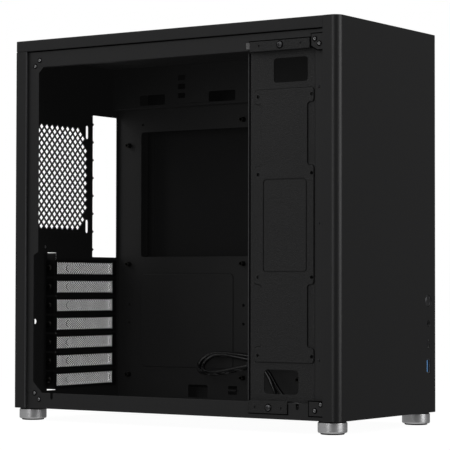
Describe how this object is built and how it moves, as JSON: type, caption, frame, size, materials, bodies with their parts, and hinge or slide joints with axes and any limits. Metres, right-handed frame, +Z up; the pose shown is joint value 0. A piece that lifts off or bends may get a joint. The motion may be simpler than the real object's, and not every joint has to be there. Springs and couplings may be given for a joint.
{
  "type": "desktop computer tower",
  "caption": "Tower case for a desktop computer, left side open: front power supply chamber, drive panel, motherboard tray, rear slot covers, front sockets and metal feet.",
  "frame": {"origin": "centre of the footprint on the surface that the feet stand on", "axes": "+X is the right-hand side seen from the front, the front faces -Y, +Z is up"},
  "size_m": [0.202, 0.4104, 0.403],
  "materials": {
    "chassis_steel": "matt black powder coat on sheet steel",
    "frame_steel": "matt black powder coat on sheet steel",
    "skin_aluminium": "fine bead-blasted black anodised aluminium",
    "slot_cover_steel": "matt black perforated sheet steel",
    "screw_steel": "black zinc",
    "foot_aluminium": "turned and polished aluminium",
    "rubber": "matt",
    "black_plastic": "fine grain",
    "socket_shell": "stamped shell",
    "cable_jacket": "smooth black PVC",
    "circuit_board": "solder mask",
    "button": "dark anodised, turned"
  },
  "bodies": {
    "chassis": {"floor_pan": "chassis_steel", "top_pan": "chassis_steel", "rear_wall": "chassis_steel", "slot_wall": "chassis_steel", "rear_fan_grille": "chassis_steel", "motherboard_tray": "chassis_steel", "upper_tray": "chassis_steel", "front_plate": "chassis_steel", "left_top_rail": "frame_steel", "left_bottom_rail": "frame_steel", "left_rear_post": "frame_steel", "left_front_post": "frame_steel", "right_top_rail": "chassis_steel", "right_bottom_rail": "chassis_steel", "right_rear_post": "chassis_steel", "right_front_post": "chassis_steel", "rear_column_left": "skin_aluminium", "rear_column_right": "skin_aluminium", "corner_gussets": "frame_steel", "rivets": "screw_steel", "standoffs": "screw_steel", "slot_cover_1": "slot_cover_steel", "slot_cover_2": "slot_cover_steel", "slot_cover_3": "slot_cover_steel", "slot_cover_4": "slot_cover_steel", "slot_cover_5": "slot_cover_steel", "slot_cover_6": "slot_cover_steel", "slot_cover_7": "slot_cover_steel", "slot_ledge": "chassis_steel", "slot_screws": "screw_steel", "psu_bracket": "chassis_steel", "panel_sockets": "black_plastic", "foot_front_left": "foot_aluminium", "foot_front_right": "foot_aluminium", "foot_rear_left": "foot_aluminium", "foot_rear_right": "foot_aluminium", "foot_pads": "rubber", "foot_washers": "rubber", "io_board": "circuit_board", "usb_a_socket": "socket_shell", "usb_c_socket": "socket_shell", "audio_socket": "black_plastic", "power_switch": "black_plastic", "usb_cable": "cable_jacket", "audio_cable": "cable_jacket", "usb_plug": "black_plastic", "audio_plug": "black_plastic", "cable_tie": "black_plastic"},
    "front_skin": {"front_panel": "skin_aluminium", "front_panel_pins": "black_plastic"},
    "button": {"power_button": "button"},
    "top_skin": {"top_cover": "skin_aluminium", "top_cover_pins": "black_plastic"},
    "side_skin": {"right_side_panel": "skin_aluminium", "right_side_panel_pins": "black_plastic"},
    "drive_panel": {"ssd_panel": "frame_steel", "ssd_panel_screws": "screw_steel"},
    "rear_guard": {"slot_guard": "frame_steel", "slot_guard_thumbscrews": "screw_steel"}
  },
  "joints": [
    {"name": "front_panel_pull", "type": "slide", "parent": "chassis", "child": "front_skin", "axis": [0, -1, 0], "range_m": [0, 0.06]},
    {"name": "power_button_press", "type": "slide", "parent": "front_skin", "child": "button", "axis": [0, 1, 0], "range_m": [0, 0.0012], "stiffness_N_per_m": 900, "springref_m": -0.0008},
    {"name": "top_cover_lift", "type": "slide", "parent": "chassis", "child": "top_skin", "axis": [0, 0, 1], "range_m": [0, 0.05]},
    {"name": "side_panel_pull", "type": "slide", "parent": "chassis", "child": "side_skin", "axis": [1, 0, 0], "range_m": [0, 0.06]},
    {"name": "drive_panel_pull", "type": "slide", "parent": "chassis", "child": "drive_panel", "axis": [-1, 0, 0], "range_m": [0, 0.06]},
    {"name": "slot_guard_pull", "type": "slide", "parent": "chassis", "child": "rear_guard", "axis": [0, 1, 0], "range_m": [0, 0.03]}
  ]
}
